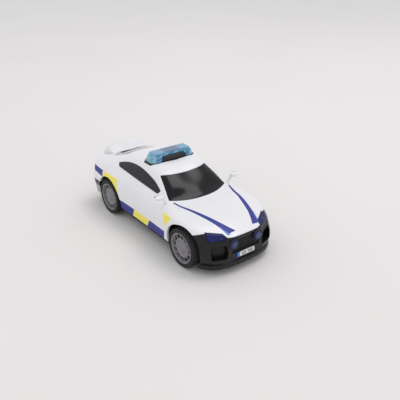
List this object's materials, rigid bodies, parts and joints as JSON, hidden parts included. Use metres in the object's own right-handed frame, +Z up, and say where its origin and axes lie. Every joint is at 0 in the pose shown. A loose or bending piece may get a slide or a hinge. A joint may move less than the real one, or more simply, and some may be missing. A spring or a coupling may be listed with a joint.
{
  "type": "toy police car",
  "caption": "Toy police coupe with a moulded shell on a screwed chassis, free-rolling wheels, a friction flywheel drive and a press-down roof light bar that starts lights and sound.",
  "frame": {"origin": "on the ground under the middle of the car", "axes": "+X forward, +Y to the car's left, +Z up"},
  "size_m": [0.15, 0.0716, 0.0557],
  "materials": {
    "white_body": "moulded, gloss, printed livery",
    "smoked": "smoked clear plastic",
    "black_gloss": "moulded, semi gloss",
    "black_matte": "moulded, fine texture",
    "lamp_blue": "tinted clear plastic",
    "lens_blue": "tinted clear plastic",
    "lamp_red": "tinted clear plastic",
    "plate_white": "printed sticker on plastic",
    "rim_grey": "silver grey plastic",
    "tyre_rubber": "soft rubber, treaded",
    "steel": "bright drawn steel",
    "nylon": "natural moulded plastic",
    "brass": "turned",
    "motor_blue": "moulded",
    "board_green": "coated laminate",
    "led_clear": "clear moulded epoxy",
    "chip_black": "epoxy blob",
    "cell_metal": "plated steel can",
    "contact_metal": "plated spring strip"
  },
  "bodies": {
    "car": {"body_shell": "white_body", "glazing": "smoked", "front_bumper": "black_gloss", "grille": "black_matte", "front_plate": "plate_white", "grille_lamp_left": "lamp_blue", "grille_lamp_right": "lamp_blue", "front_leds": "led_clear", "headlight_left": "lamp_blue", "headlight_right": "lamp_blue", "rear_bumper": "black_gloss", "rear_plate": "plate_white", "tail_light_left": "lamp_red", "tail_light_right": "lamp_red", "mirror_left": "white_body", "mirror_right": "white_body", "spoiler": "white_body", "dashboard": "black_matte", "chassis": "black_matte", "body_screws": "steel", "battery_cover": "black_matte", "battery_cover_screw": "steel", "battery_cells": "cell_metal", "battery_contacts": "contact_metal", "speaker": "black_matte", "circuit_board": "board_green", "sound_chip": "chip_black", "board_screws": "steel", "switch_body": "black_matte", "motor_plate_right": "motor_blue", "motor_plate_left": "motor_blue"},
    "front_wheels": {"front_axle": "steel", "front_rim_left": "rim_grey", "front_rim_right": "rim_grey", "front_tyre_left": "tyre_rubber", "front_tyre_right": "tyre_rubber"},
    "rear_wheels": {"rear_axle": "steel", "rear_rim_left": "rim_grey", "rear_rim_right": "rim_grey", "rear_tyre_left": "tyre_rubber", "rear_tyre_right": "tyre_rubber", "drive_gear": "nylon"},
    "middle_drive": {"middle_gear": "nylon", "middle_shaft": "steel"},
    "flywheel_drive": {"flywheel": "steel", "flywheel_pinion": "brass", "flywheel_shaft": "steel"},
    "light_bar": {"lightbar_base": "black_gloss", "lightbar_lens": "lens_blue", "lightbar_panel": "black_gloss", "lightbar_board": "board_green", "lightbar_leds": "led_clear", "switch_button": "black_matte"}
  },
  "joints": [
    {"name": "front_axle_roll", "type": "hinge", "parent": "car", "child": "front_wheels", "pos_m": [0.0485, 0, 0.0134], "axis": [0, 1, 0], "continuous": true},
    {"name": "rear_axle_roll", "type": "hinge", "parent": "car", "child": "rear_wheels", "pos_m": [-0.0439, 0, 0.0134], "axis": [0, 1, 0], "continuous": true},
    {"name": "middle_gear_spin", "type": "hinge", "parent": "car", "child": "middle_drive", "pos_m": [-0.03743, 0, 0.01793], "axis": [0, 1, 0], "continuous": true},
    {"name": "flywheel_spin", "type": "hinge", "parent": "car", "child": "flywheel_drive", "pos_m": [-0.02965, 0, 0.0193], "axis": [0, 1, 0], "continuous": true},
    {"name": "light_bar_press", "type": "slide", "parent": "car", "child": "light_bar", "axis": [0, 0, 1], "range_m": [-0.001, 0], "stiffness_N_per_m": 800, "springref_m": 0.0005}
  ],
  "couplings": [
    {"joint": "middle_gear_spin", "follows": "rear_axle_roll", "ratio": -1.6},
    {"joint": "flywheel_spin", "follows": "rear_axle_roll", "ratio": 3.6}
  ]
}
